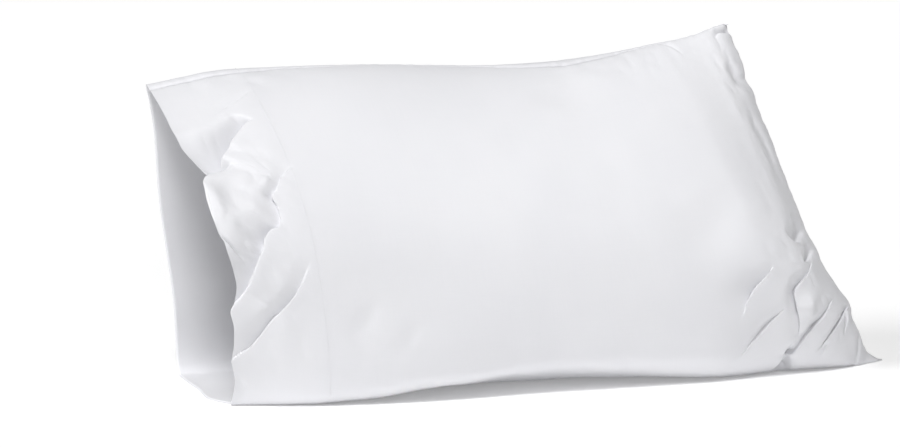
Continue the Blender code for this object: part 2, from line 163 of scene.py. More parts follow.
# A point of a crease's line has its place, into and round, then how far the crease reaches there on
# its left and on its right, and how deep it is.
CREASES = (
    # The folds of the hem, from the pinched edge down.
    Crease("hem funnel", 0.9, 0.0, 0.36, (
        (-0.006, 0.208, 0.056, 0.0230, 0.0250),
        (0.018, 0.184, 0.048, 0.0200, 0.0300),
        (0.050, 0.155, 0.038, 0.0165, 0.0340),
        (0.076, 0.121, 0.022, 0.0110, 0.0170))),
    Crease("hem fine", 1.0, 0.05, 0.6, (
        (0.048, 0.105, 0.012, 0.0050, 0.0000),
        (0.077, 0.081, 0.010, 0.0045, 0.0020),
        (0.108, 0.057, 0.008, 0.0040, 0.0000))),
    Crease("hem upper valley", 0.9, 0.0, 0.9, (
        (0.074, 0.229, 0.020, 0.0070, 0.0055),
        (0.085, 0.203, 0.017, 0.0049, 0.0035),
        (0.106, 0.184, 0.014, 0.0025, 0.0000))),
    Crease("hem dent", 0.9, 0.0, 0.9, (
        (0.055, 0.284, 0.034, 0.0065, 0.0050),
        (0.074, 0.250, 0.029, 0.0082, 0.0065),
        (0.072, 0.228, 0.024, 0.0043, 0.0030))),
    Crease("hem diagonal", 0.9, 0.0, 0.9, (
        (-0.006, 0.378, 0.036, 0.0120, 0.0058),
        (0.031, 0.316, 0.034, 0.0115, 0.0095),
        (0.062, 0.272, 0.032, 0.0076, 0.0060))),
    Crease("hem low diagonal", 0.9, 0.0, 0.9, (
        (-0.006, 0.450, 0.030, 0.0012, 0.0004),
        (0.027, 0.402, 0.022, 0.0050, 0.0050),
        (0.059, 0.354, 0.018, 0.0050, 0.0050),
        (0.094, 0.297, 0.014, 0.0012, 0.0004))),
    Crease("hem edge groove", 0.9, 0.05, 0.6, (
        (0.001, 0.280, 0.010, 0.0050, 0.0000),
        (0.000, 0.250, 0.009, 0.0050, 0.0022),
        (0.000, 0.225, 0.008, 0.0050, 0.0000))),
    Crease("hem small fold", 0.8, 0.05, 0.6, (
        (0.000, 0.285, 0.010, 0.0070, 0.0010),
        (0.006, 0.293, 0.009, 0.0065, 0.0028),
        (0.020, 0.319, 0.008, 0.0060, 0.0000))),
    Crease("hem puff", 0.0, 0.0, 0.6, (
        (0.004, 0.223, 0.020, 0.0200, -0.0010),
        (0.008, 0.240, 0.021, 0.0210, -0.0050),
        (0.016, 0.263, 0.022, 0.0220, -0.0020))),
    Crease("hem low edge", 0.5, 0.05, 0.6, (
        (0.004, 0.504, 0.014, 0.0120, 0.0000),
        (0.009, 0.476, 0.015, 0.0120, 0.0025),
        (0.003, 0.456, 0.016, 0.0120, 0.0000))),
    # Soft wrinkles on the front, and the arch that lifts its lower edge off the floor.
    Crease("front arch", 0.0, 0.0, 0.0, (
        (0.090, 0.462, 0.050, 0.060, 0.0000),
        (0.160, 0.460, 0.050, 0.060, 0.0030),
        (0.240, 0.456, 0.050, 0.064, 0.0100),
        (0.330, 0.452, 0.050, 0.066, 0.0120),
        (0.430, 0.450, 0.050, 0.066, 0.0100),
        (0.520, 0.450, 0.048, 0.060, 0.0045),
        (0.600, 0.452, 0.044, 0.050, 0.0000))),
    Crease("front low left", 0.5, 0.0, 0.0, (
        (0.123, 0.381, 0.026, 0.0160, 0.0000),
        (0.152, 0.354, 0.023, 0.0150, 0.0014),
        (0.176, 0.320, 0.020, 0.0140, 0.0000))),
    Crease("front low right", 0.5, 0.0, 0.0, (
        (0.190, 0.385, 0.022, 0.0140, 0.0000),
        (0.204, 0.365, 0.019, 0.0130, 0.0012),
        (0.229, 0.343, 0.016, 0.0120, 0.0000))),
    Crease("front broad", 0.2, 0.0, 0.0, (
        (0.539, 0.285, 0.060, 0.060, 0.0000),
        (0.599, 0.261, 0.050, 0.050, 0.0030),
        (0.660, 0.228, 0.040, 0.040, 0.0000))),
    Crease("front upper", 0.2, 0.1, 0.6, (
        (0.420, 0.090, 0.030, 0.0300, 0.0000),
        (0.470, 0.080, 0.030, 0.0300, 0.0020),
        (0.530, 0.059, 0.030, 0.0300, 0.0000))),
    # The fan of folds at the lower corner of the closed end.
    Crease("corner long", 0.9, 0.0, 0.9, (
        (0.606, 0.374, 0.060, 0.0008, 0.0003),
        (0.633, 0.345, 0.038, 0.0052, 0.0058),
        (0.668, 0.319, 0.014, 0.0012, 0.0013))),
    Crease("corner lower", 0.9, 0.0, 0.8, (
        (0.594, 0.431, 0.044, 0.0012, 0.0004),
        (0.635, 0.401, 0.024, 0.0062, 0.0050),
        (0.661, 0.378, 0.012, 0.0020, 0.0012))),
    Crease("corner upright", 0.9, 0.0, 0.9, (
        (0.681, 0.416, 0.020, 0.0026, 0.0018),
        (0.688, 0.359, 0.018, 0.0080, 0.0070),
        (0.735, 0.329, 0.016, 0.0022, 0.0020))),
    Crease("corner puff", 0.0, 0.0, 0.6, (
        (0.691, 0.408, 0.014, 0.0140, -0.0010),
        (0.704, 0.372, 0.014, 0.0140, -0.0050),
        (0.720, 0.358, 0.014, 0.0140, -0.0010))),
    Crease("corner slant", 0.9, 0.0, 0.84, (
        (0.662, 0.452, 0.024, 0.0060, 0.0048),
        (0.711, 0.401, 0.018, 0.0066, 0.0054),
        (0.743, 0.386, 0.012, 0.0024, 0.0016))),
    Crease("corner tuck", 0.9, 0.0, 0.85, (
        (0.697, 0.449, 0.008, 0.0010, 0.0003),
        (0.734, 0.422, 0.011, 0.0050, 0.0040),
        (0.762, 0.411, 0.014, 0.0055, 0.0044))),
    Crease("corner under tuck", 1.0, 0.05, 0.6, (
        (0.702, 0.459, 0.006, 0.0050, 0.0000),
        (0.711, 0.445, 0.006, 0.0050, 0.0020),
        (0.721, 0.435, 0.006, 0.0050, 0.0000))),
    Crease("corner short tuck", 0.9, 0.0, 0.9, (
        (0.746, 0.440, 0.006, 0.0025, 0.0000),
        (0.756, 0.428, 0.008, 0.0043, 0.0030),
        (0.761, 0.415, 0.010, 0.0054, 0.0040))),
    Crease("tip fold", 0.8, 0.0, 0.3, (
        (0.749, 0.494, 0.010, 0.0080, 0.0010),
        (0.761, 0.476, 0.011, 0.0080, 0.0020),
        (0.769, 0.462, 0.012, 0.0080, 0.0020))),
    Crease("base tuck", 0.5, 0.0, 0.0, (
        (0.653, 0.477, 0.016, 0.0140, 0.0120),
        (0.663, 0.450, 0.011, 0.0100, 0.0070),
        (0.670, 0.430, 0.008, 0.0080, 0.0000))),
    # Dents down the closed end.
    Crease("end top dent", 0.4, 0.1, 0.6, (
        (0.766, 0.089, 0.018, 0.0140, 0.0030),
        (0.756, 0.073, 0.017, 0.0140, 0.0060),
        (0.745, 0.055, 0.016, 0.0140, 0.0000))),
    Crease("end long groove", 0.4, 0.05, 0.6, (
        (0.752, 0.236, 0.018, 0.0120, 0.0000),
        (0.751, 0.176, 0.017, 0.0120, 0.0030),
        (0.747, 0.115, 0.016, 0.0120, 0.0000))),
    Crease("end fine groove", 0.9, 0.05, 0.6, (
        (0.731, 0.177, 0.008, 0.0050, 0.0000),
        (0.740, 0.192, 0.008, 0.0050, 0.0014),
        (0.749, 0.212, 0.008, 0.0050, 0.0000))),
    Crease("end upper dent", 0.6, 0.0, 0.4, (
        (0.712, 0.274, 0.022, 0.0120, 0.0000),
        (0.738, 0.291, 0.030, 0.0140, 0.0075),
        (0.750, 0.288, 0.034, 0.0150, 0.0070))),
    Crease("end lower dent", 0.6, 0.0, 0.5, (
        (0.721, 0.315, 0.016, 0.0090, 0.0000),
        (0.740, 0.320, 0.018, 0.0095, 0.0080),
        (0.751, 0.316, 0.020, 0.0100, 0.0060))),
    Crease("top corner fold", 0.8, 0.05, 0.6, (
        (0.743, 0.018, 0.010, 0.0080, 0.0000),
        (0.757, 0.012, 0.011, 0.0090, 0.0040),
        (0.772, 0.015, 0.012, 0.0100, 0.0050))),
    Crease("top diagonal", 0.9, 0.05, 0.6, (
        (0.643, 0.000, 0.008, 0.0060, 0.0000),
        (0.664, 0.012, 0.008, 0.0060, 0.0016),
        (0.677, 0.033, 0.008, 0.0060, 0.0000))),
    # The back.
    Crease("back hem valley", 0.6, 0.2, 0.0, (
        (0.260, -0.250, 0.030, 0.0240, 0.0000),
        (0.160, -0.320, 0.030, 0.0240, 0.0060),
        (0.080, -0.360, 0.030, 0.0240, 0.0000))),
    Crease("back hem fold", 0.8, 0.05, 0.6, (
        (0.220, -0.170, 0.024, 0.0120, 0.0000),
        (0.150, -0.150, 0.022, 0.0110, 0.0050),
        (0.100, -0.120, 0.020, 0.0100, 0.0000))),
    Crease("back corner long", 0.8, 0.05, 0.6, (
        (0.570, -0.390, 0.040, 0.0140, 0.0000),
        (0.640, -0.350, 0.028, 0.0120, 0.0060),
        (0.690, -0.330, 0.016, 0.0100, 0.0000))),
    Crease("back corner short", 0.8, 0.05, 0.6, (
        (0.650, -0.450, 0.022, 0.0120, 0.0000),
        (0.700, -0.410, 0.018, 0.0110, 0.0060),
        (0.740, -0.400, 0.014, 0.0100, 0.0020))),
    Crease("back end dent", 0.4, 0.1, 0.6, (
        (0.730, -0.270, 0.026, 0.0260, 0.0000),
        (0.750, -0.255, 0.026, 0.0260, 0.0070),
        (0.776, -0.250, 0.026, 0.0260, 0.0060))),
    Crease("back top dent", 0.4, 0.1, 0.6, (
        (0.735, -0.080, 0.020, 0.0200, 0.0000),
        (0.750, -0.090, 0.020, 0.0200, 0.0060),
        (0.772, -0.100, 0.020, 0.0200, 0.0050))),
)


class Rumple(NamedTuple):
    """A patch of the cloth with fine unevenness: its middle, its reach, and the bumps in it."""

    into: float
    around: float
    reach_into: float
    reach_round: float
    height: float
    cell: float        # how far apart its bumps are


RUMPLES = (
    #      into   around reach_into reach_round height cell
    Rumple(0.040, 0.280, 0.090, 0.260, 0.0016, 0.030),
    Rumple(0.720, 0.330, 0.110, 0.230, 0.0009, 0.026),
    Rumple(0.750, 0.080, 0.060, 0.180, 0.0012, 0.022),
    Rumple(0.560, 0.030, 0.200, 0.060, 0.0008, 0.024),
    Rumple(0.100, 0.030, 0.160, 0.060, 0.0008, 0.024),
    Rumple(0.380, 0.420, 0.420, 0.120, 0.0008, 0.040),
    Rumple(0.200, -0.250, 0.160, 0.260, 0.0014, 0.032),
    Rumple(0.720, -0.260, 0.120, 0.260, 0.0016, 0.030),
    Rumple(0.390, -0.250, 0.400, 0.260, 0.0010, 0.050),
    Rumple(0.390, 0.200, 0.420, 0.260, 0.0005, 0.060),
    Rumple(0.040, 0.250, 0.080, 0.240, 0.0006, 0.012),
    Rumple(0.730, 0.360, 0.090, 0.180, 0.0006, 0.012),
)


def smooth_between(places: Array, values: Array, wanted: Array) -> Array:
    """Read values between their places, smoothly and with no overshoot.

    Args:
        places: where the values are, rising.
        values: the values.
        wanted: the places to read at.

    Returns:
        The value at each wanted place.
    """
    gaps = np.diff(places)
    slopes = np.diff(values) / gaps
    tangents = np.empty(len(values))
    tangents[0], tangents[-1] = slopes[0], slopes[-1]
    both = slopes[:-1] + slopes[1:]
    turning = slopes[:-1] * slopes[1:] > 0.0
    tangents[1:-1] = np.where(turning, 2.0 * slopes[:-1] * slopes[1:] / np.where(turning, both, 1.0), 0.0)
    row = np.clip(np.searchsorted(places, wanted, side="right") - 1, 0, len(gaps) - 1)
    t = (wanted - places[row]) / gaps[row]
    rise = t * t * (3.0 - 2.0 * t)
    leaving = t * (1.0 - t) ** 2 * gaps[row] * tangents[row]
    arriving = t * t * (t - 1.0) * gaps[row] * tangents[row + 1]
    return values[row] + rise * (values[row + 1] - values[row]) + leaving + arriving


def read_row(kind: type, table: tuple, along: float) -> NamedTuple:
    """Read all the columns of a table at one place along the case."""
    places, *columns = np.array(table).T
    at = np.array([along])
    return kind(along, *(float(smooth_between(places, values, at)[0]) for values in columns))


def read_line(wanted: Array, places: Array, points: Array) -> Array:
    """Points of a line at wanted places, from its own points and the place of each."""
    return np.stack([np.interp(wanted, places, column) for column in points.T], axis=-1)


def run_along(points: Array) -> Array:
    """Distance travelled along a line at each of its points."""
    return np.concatenate([[0.0], np.cumsum(np.linalg.norm(np.diff(points, axis=0), axis=1))])


def unit(vectors: Array) -> Array:
    """The vectors at unit length."""
    return vectors / np.maximum(np.linalg.norm(vectors, axis=-1, keepdims=True), 1e-12)


def ease(share: Array) -> Array:
    """Rise from 0 to 1 with level ends, for shares clipped to 0 to 1."""
    share = np.clip(share, 0.0, 1.0)
    return share * share * (3.0 - 2.0 * share)


def fade(share: Array) -> Array:
    """Fall from 1 to 0 along half a wave, for shares clipped to 0 to 1."""
    return 0.5 + 0.5 * np.cos(np.pi * np.clip(share, 0.0, 1.0))


def put_in_scene(name: str, data: bpy.types.ID) -> bpy.types.Object:
    """Make an object that shows some data, and add it to the scene."""
    made = bpy.data.objects.new(name, data)
    bpy.context.collection.objects.link(made)
    return made


@dataclass
class PlumpShape:
    """The smooth filled shape of the case, before its creases: rings of cloth from the mouth.

    Args:
        middle: what to take off x and y so that the origin is under the middle of the case.
    """

    middle: tuple[float, float]
    curve_steps: int = 48
    lower_handle: float = 0.36

    def ring_curve(self, along: float) -> Array:
        """Points of one ring, closely spaced, from its top down the front and up the back."""
        place = read_row(Place, PLACES, along)
        shape = read_row(Outline, OUTLINES, along)
        top = np.array([place.top_y, place.top_z])
        front = np.array([shape.front, shape.front_z])
        back = np.array([shape.back, shape.back_z])
        level = (shape.front_foot, shape.back_foot, place.crown, shape.front_round, shape.back_round)
        front_foot, back_foot, crown, front_reach, back_reach = (np.array([y, 0.0]) for y in level)
        third = (back_foot - front_foot) / 3.0
        front_up, back_up, front_down, back_down = (
            np.array([0.0, z])
            for z in (
                shape.upright * (place.top_z - shape.front_z),
                shape.upright * (place.top_z - shape.back_z),
                self.lower_handle * shape.front_z,
                self.lower_handle * shape.back_z,
            )
        )
        pieces = (
            (top, top - crown, front + front_up, front),
            (front, front - front_down, front_foot - front_reach, front_foot),
            (front_foot, front_foot + third, back_foot - third, back_foot),
            (back_foot, back_foot + back_reach, back - back_down, back),
            (back, back + back_up, top + crown, top),
        )
        t = np.linspace(0.0, 1.0, self.curve_steps + 1)[:, None]
        u = 1.0 - t
        drawn = [u**3 * a + 3 * u * u * t * b + 3 * u * t * t * c + t**3 * d for a, b, c, d in pieces]
        outline = np.concatenate([piece[:-1] for piece in drawn] + [top[None, :]])
        height = np.clip(outline[:, 1] / place.top_z, 0.0, 1.0)
        x = place.foot_x + (place.top_x - place.foot_x) * height + place.skew * outline[:, 0]
        x -= place.drawn_in * np.sin(np.pi * height) ** 2
        return np.column_stack([x - self.middle[0], outline[:, 0] - self.middle[1], outline[:, 1]])

    def lattice(self, into: Array, rounds: Array) -> Array:
        """Points of the smooth case on a lattice of the flat cloth.

        Args:
            into: distance from the mouth's edge of each row.
            rounds: distance round from the top seam, for each row and column.

        Returns:
            Points, as rows by columns by x, y and z.
        """
        points = np.empty(rounds.shape + (3,))
        for row, (distance, around) in enumerate(zip(into, rounds)):
            curve = self.ring_curve(distance / CLOTH_LENGTH)
            run = run_along(curve)
            points[row] = read_line((around / CLOTH_ROUND % 1.0) * run[-1], run, curve)
        return points


class Unevenness:
    """Seeded smooth noise on the flat cloth, about -1 to 1."""

    KNOTS = 64
    START = (17.3, 31.7)    # where the cloth's first corner lies among the knots

    def __init__(self, seed: int) -> None:
        """Draw the noise's table.

        Args:
            seed: what the table is drawn from.
        """
        self.table = np.random.default_rng(seed).uniform(-1.0, 1.0, (self.KNOTS, self.KNOTS))

    def at(self, first: Array, second: Array, cell: float) -> Array:
        """Read the noise at places of the flat cloth.

        Args:
            first: one coordinate of each place.
            second: the other coordinate.
            cell: how far apart the noise's knots are.

        Returns:
            The noise at each place.
        """
        a, b = first / cell + self.START[0], second / cell + self.START[1]
        row, column = np.floor(a).astype(int), np.floor(b).astype(int)
        u, v = ease(a - row), ease(b - column)
        here, after = column % self.KNOTS, (column + 1) % self.KNOTS
        low, high = (
            self.table[line % self.KNOTS, here] * (1 - v) + self.table[line % self.KNOTS, after] * v
            for line in (row, row + 1)
        )
        return low * (1 - u) + high * u


# A sharp fold, as shares of its sides: how rounded its foot is, where its steep side stops rising and
# how long it then takes to settle, how far its roll reaches and fades, and how soon its ends fade.
TOE = 0.30
RISE = 0.55
SETTLE = 0.45
ROLL_REACH = 2.2
ROLL_FADE = 1.65
END_FADE = 0.35
STEPS_A_SPAN = 10    # how finely a crease's line is followed between two of its points


def fold_profile(aside: Array, left: Array, right: Array, lip: float) -> Array:
    """Share of a sharp fold's depth at a distance from its line, right of it counted as positive."""
    near = np.clip(1.0 + aside / left, 0.0, 1.0)
    slope = (np.sqrt(near * near + TOE * TOE) - TOE) / (np.sqrt(1.0 + TOE * TOE) - TOE)
    out = np.clip(aside / right, 0.0, 1.0)
    rise = -lip + (1.0 + lip) * fade(out / RISE)
    settle = -lip * fade((out - RISE) / SETTLE)
    return np.where(aside <= 0.0, slope, np.where(out < RISE, rise, settle))


def crease_press(crease: Crease, into: Array, rounds: Array) -> Array:
    """How one crease presses and draws the flat cloth.

    Args:
        crease: the crease.
        into: distance from the mouth's edge, of any shape.
        rounds: distance round from the top seam, of the same shape.

    Returns:
        How deep the cloth is pressed at each place, and how far it is drawn along each coordinate.
    """
    knots = np.array(crease.line)
    run = np.concatenate([[0.0], np.cumsum(np.hypot(*np.diff(knots[:, :2], axis=0).T))])
    steps = STEPS_A_SPAN * (len(knots) - 1)
    at = np.linspace(0.0, run[-1], steps + 1)
    table = np.stack([smooth_between(run, column, at) for column in knots.T], axis=-1)
    line, sides = table[:, :2], table[:, 2:]
    widest_left, widest_right = knots[:, 2].max(), knots[:, 3].max()
    reach = max(widest_left, ROLL_REACH * widest_right)
    low, high = line.min(axis=0) - reach, line.max(axis=0) + reach
    near = (into > low[0]) & (into < high[0]) & (rounds > low[1]) & (rounds < high[1])
    pressed = np.zeros((3,) + into.shape)
    if not near.any():
        return pressed

    place = np.stack([into[near], rounds[near]], axis=-1)
    nearest = np.full((4, len(place)), np.inf)
    for step in range(steps):
        off, ahead = place - line[step], line[step + 1] - line[step]
        length = np.linalg.norm(ahead)
        along = off @ ahead / length
        aside = (off[:, 1] * ahead[0] - off[:, 0] * ahead[1]) / length
        over = np.maximum(np.maximum(-along, along - length), 0.0)
        here = np.array([np.hypot(aside, over), aside, over, step + np.clip(along / length, 0.0, 1.0)])
        nearest = np.where(here[0] < nearest[0], here, nearest)
    _, signed, beyond, where = nearest

    counted = np.arange(steps + 1)
    left, right, full = read_line(where, counted, sides).T
    heading = read_line(where, counted, unit(np.gradient(line, axis=0)))
    side = np.where(signed > 0.0, right, left)
    soft = fade(np.hypot(signed / side, beyond / (0.5 * (left + right))))
    ending = fade(beyond / (END_FADE * (left + right)))
    sharp = fold_profile(signed, left, right, crease.lip) * ending
    out = signed / right
    drawn = crease.roll * crease.crisp * full * ease(out / RISE)
    drawn = drawn * ease((ROLL_REACH - out) / ROLL_FADE) * ending
    pressed[0][near] = full * ((1.0 - crease.crisp) * soft + crease.crisp * sharp)
    pressed[1][near] = drawn * heading[:, 1]
    pressed[2][near] = -drawn * heading[:, 0]
    return pressed


@dataclass
class Wiring:
    """A new material, as its nodes are joined up.

    Args:
        name: the material's name.
    """

    name: str

    def __post_init__(self) -> None:
        """Make the material, with only its shader."""
        self.material = bpy.data.materials.new(self.name)
        self.material.use_nodes = True
        self.tree = self.material.node_tree

    def feed(self, node: bpy.types.Node, inputs: dict) -> None:
        """Give a node its inputs.

        Args:
            node: the node.
            inputs: by each input's name or number, a value or the output that feeds it.
        """
        for key, given in inputs.items():
            if isinstance(given, bpy.types.NodeSocket):
                self.tree.links.new(given, node.inputs[key])
            else:
                node.inputs[key].default_value = given

    def add(self, kind: str, output: str, inputs: dict, **settings: str) -> bpy.types.NodeSocket:
        """Add a node.

        Args:
            kind: the node's type.
            output: the name of the output to give back.
            inputs: its inputs, as for `feed`.
            settings: what else to set on the node.

        Returns:
            The named output.
        """
        node = self.tree.nodes.new(kind)
        for setting, value in settings.items():
            setattr(node, setting, value)
        self.feed(node, inputs)
        return node.outputs[output]

    def noise(self, place: bpy.types.NodeSocket, stretch: tuple[float, float]) -> bpy.types.NodeSocket:
        """Add soft noise over a place, changing so many times a metre along each coordinate."""
        moved = self.add("ShaderNodeMapping", "Vector", {"Vector": place, "Scale": stretch + (1.0,)})
        return self.add("ShaderNodeTexNoise", "Fac", {"Vector": moved, "Scale": 1.0, "Detail": 2.0})

    def bump(self, source: bpy.types.NodeSocket, height: float, below: dict) -> dict:
        """Add one layer of bumps, so many metres high, on top of the normal below, if there is one."""
        inputs = {"Height": source, "Distance": height, **below}
        return {"Normal": self.add("ShaderNodeBump", "Normal", inputs)}

    def finish(self, inputs: dict) -> bpy.types.Material:
        """Give the shader its inputs, and give back the material."""
        self.feed(self.tree.nodes["Principled BSDF"], inputs)
        return self.material


@dataclass(frozen=True)
class PercaleFinish:
    """Matt white percale: a plain weave with uneven threads and a little sheen."""

    colour: tuple[float, float, float, float] = (0.715, 0.715, 0.736, 1.0)
    darker: tuple[float, float, float, float] = (0.675, 0.677, 0.704, 1.0)
    roughness: float = 0.88
    rough_spread: float = 0.06
    sheen: float = 0.15
    thread_spacing: float = 0.00045
    bands_a_metre: float = 0.314159           # the wave texture's scale for one band a metre
    weave_height: float = 0.00003
    slubs: tuple[float, float] = (900.0, 60.0)       # across and along a thread, a metre
    slub_height: float = 0.00006
    patches: tuple[float, float] = (7.0, 7.0)
    streaks: tuple[float, float] = (1500.0, 25.0)
    streak_share: float = 0.5
    least: float = 0.6          # what the uneven total runs between
    most: float = 1.4

    def material(self) -> bpy.types.Material:
        """The percale's material, woven along the piece's own UV map, which is in metres."""
        wiring = Wiring("white_percale")
        place = wiring.add("ShaderNodeUVMap", "UV", {}, uv_map="flat_cloth")
        uneven = self.unevenness(wiring, place)
        shades = {"Color1": self.darker, "Color2": self.colour, "Fac": uneven}
        rough = {"To Min": self.roughness - self.rough_spread, "To Max": self.roughness + self.rough_spread}
        layers = {}
        for direction, slubs in (("X", self.slubs), ("Y", self.slubs[::-1])):
            weave = {"Vector": place, "Scale": self.bands_a_metre / self.thread_spacing}
            threads = wiring.add("ShaderNodeTexWave", "Color", weave, bands_direction=direction)
            layers = wiring.bump(threads, self.weave_height, layers)
            layers = wiring.bump(wiring.noise(place, slubs), self.slub_height, layers)
        return wiring.finish({
            "Sheen Weight": self.sheen,
            "Base Color": wiring.add("ShaderNodeMixRGB", "Color", shades),
            "Roughness": wiring.add("ShaderNodeMapRange", "Result", {**rough, "Value": uneven}),
            **layers,
        })

    def unevenness(self, wiring: Wiring, place: bpy.types.NodeSocket) -> bpy.types.NodeSocket:
        """How the shade varies a little, in soft patches and along single threads.

        Args:
            wiring: the material's nodes.
            place: the place on the flat cloth.

        Returns:
            The variation, about 0 to 1.
        """
        total = wiring.noise(place, self.patches)
        for stretch in (self.streaks, self.streaks[::-1]):
            terms = {0: wiring.noise(place, stretch), 1: self.streak_share, 2: total}
            total = wiring.add("ShaderNodeMath", "Value", terms, operation="MULTIPLY_ADD")
        reach = {"Value": total, "From Min": self.least, "From Max": self.most}
        return wiring.add("ShaderNodeMapRange", "Result", reach)


@dataclass(frozen=True)
class ThreadFinish:
    """White polished sewing thread."""

    colour: tuple[float, float, float, float] = (0.72, 0.72, 0.74, 1.0)
    darker_share: float = 0.9
    roughness: float = 0.5
    twist: float = 900.0             # how many times a metre its shade changes
    twist_height: float = 0.00004

    def material(self) -> bpy.types.Material:
        """The thread's material, with its twist and uneven shade."""
        wiring = Wiring("white_thread")
        place = wiring.add("ShaderNodeTexCoord", "Object", {})
        twist = wiring.add("ShaderNodeTexNoise", "Fac", {"Vector": place, "Scale": self.twist})
        darker = tuple(self.darker_share * part for part in self.colour[:3]) + (1.0,)
        shades = {"Color1": darker, "Color2": self.colour, "Fac": twist}
        return wiring.finish({
            "Roughness": self.roughness,
            "Base Color": wiring.add("ShaderNodeMixRGB", "Color", shades),
            **wiring.bump(twist, self.twist_height, {}),
        })


class Panel(Enum):
    """The two panels of the case, by the name of the piece."""

    FRONT = "case_front"
    BACK = "case_back"


class Cell(Enum):
    """How many steps of the lattice one face of the cloth spans."""

    WIDE = 4
    MIDDLE = 2
    FINE = 1


@dataclass
class Lattice:
    """Points on the cloth as rows, into the case, by columns, round it.

    Args:
        points: x, y and z of each point.
        into: its distance from the mouth's edge on the flat cloth, below 0 on the hem's inner ply.
        rounds: its distance round from the top seam.
    """

    points: Array
    into: Array
    rounds: Array
    turn_limit: float = 0.055
    bulge_limit: float = 0.00020

    def runs(self) -> tuple[Array, Array]:
        """Unit directions at each point: into the case, and round it."""
        return tuple(unit(np.gradient(self.points, axis=axis)) for axis in (0, 1))

    def normals(self) -> Array:
        """Outward unit normal at each point."""
        along, around = self.runs()
        return unit(np.cross(around, along))

    def bent(self, values: Array, step: int, limit: float) -> Array:
        """Whether faces of so many steps would miss the points between their corners.

        Args:
            values: what the faces have to follow, for each point.
            step: how many steps a face spans.
            limit: how far off they may be.

        Returns:
            True for each face that is too wide, as rows by columns of faces.
        """
        corners = values[::step, ::step]
        rows, columns = corners.shape[0] - 1, corners.shape[1] - 1
        worst = np.zeros((rows, columns))
        for row in range(step + 1):
            for column in range(step + 1):
                u, v = row / step, column / step
                first = (1 - v) * corners[:-1, :-1] + v * corners[:-1, 1:]
                last = (1 - v) * corners[1:, :-1] + v * corners[1:, 1:]
                at = values[row::step, column::step][:rows, :columns]
                worst = np.maximum(worst, np.linalg.norm(at - ((1 - u) * first + u * last), axis=-1))
        return worst > limit

    def cells(self) -> list[tuple[int, int, Cell]]:
        """The cloth's faces: first row, first column and size, finer where the cloth bends more."""
        normals = self.normals()
        too_wide = {Cell.FINE: np.zeros(self.into.shape, dtype=bool)}
        for cell in (Cell.WIDE, Cell.MIDDLE):
            turned = self.bent(normals, cell.value, self.turn_limit)
            too_wide[cell] = turned | self.bent(self.points, cell.value, self.bulge_limit)

        def split(row: int, column: int, cell: Cell) -> list[tuple[int, int, Cell]]:
            """A face, or its quarters where it is too wide."""
            if not too_wide[cell][row, column]:
                return [(cell.value * row, cell.value * column, cell)]
            quarters = [(2 * row + i, 2 * column + j) for i in (0, 1) for j in (0, 1)]
            return [part for quarter in quarters for part in split(*quarter, Cell(cell.value // 2))]

        return [part for wide in np.ndindex(too_wide[Cell.WIDE].shape) for part in split(*wide, Cell.WIDE)]

    def corners(self, cells: list[tuple[int, int, Cell]]) -> Array:
        """Which points are a corner of a face, the same on both sides of the bottom fold."""
        used = np.zeros(self.into.shape, dtype=bool)
        for row, column, cell in cells:
            used[row::cell.value, column::cell.value][:2, :2] = True
        folded = used[:, 0] | used[:, -1]
        used[:, 0] = used[:, -1] = folded
        return used

    @staticmethod
    def outline(row: int, column: int, cell: Cell, used: Array) -> list[tuple[int, int]]:
        """The points round one face: its own corners, and its finer neighbours' corners between them."""
        size = range(cell.value)
        last_row, last_column = row + cell.value, column + cell.value
        border = [(row, column + k) for k in size] + [(row + k, last_column) for k in size]
        border += [(last_row, last_column - k) for k in size] + [(last_row - k, column) for k in size]
        return [point for point in border if used[point]]


class Seam(NamedTuple):
    """How a line of stitches draws the cloth in: a groove, and puckers that fade away from it."""

    groove: float        # how deep the groove is
    half_width: float
    pucker: float        # how high the puckers are
    spacing: float       # how far apart they are
    reach: float         # how far from the line they fade


TOP_SEAM = Seam(0.0022, 0.0035, 0.0007, 0.007, 0.009)
END_SEAM = Seam(0.0025, 0.0040, 0.0010, 0.008, 0.012)
HEM_SEAM = Seam(0.00014, 0.0020, 0.00010, 0.006, 0.005)


def seam_press(seam: Seam, off: Array, noise: Array) -> Array:
    """How far a seam presses the cloth in, at a distance off it and with the noise along it."""
    puckers = noise * np.exp(-np.abs(off) / seam.reach)
    return seam.groove * np.exp(-(off / seam.half_width) ** 2) + seam.pucker * puckers


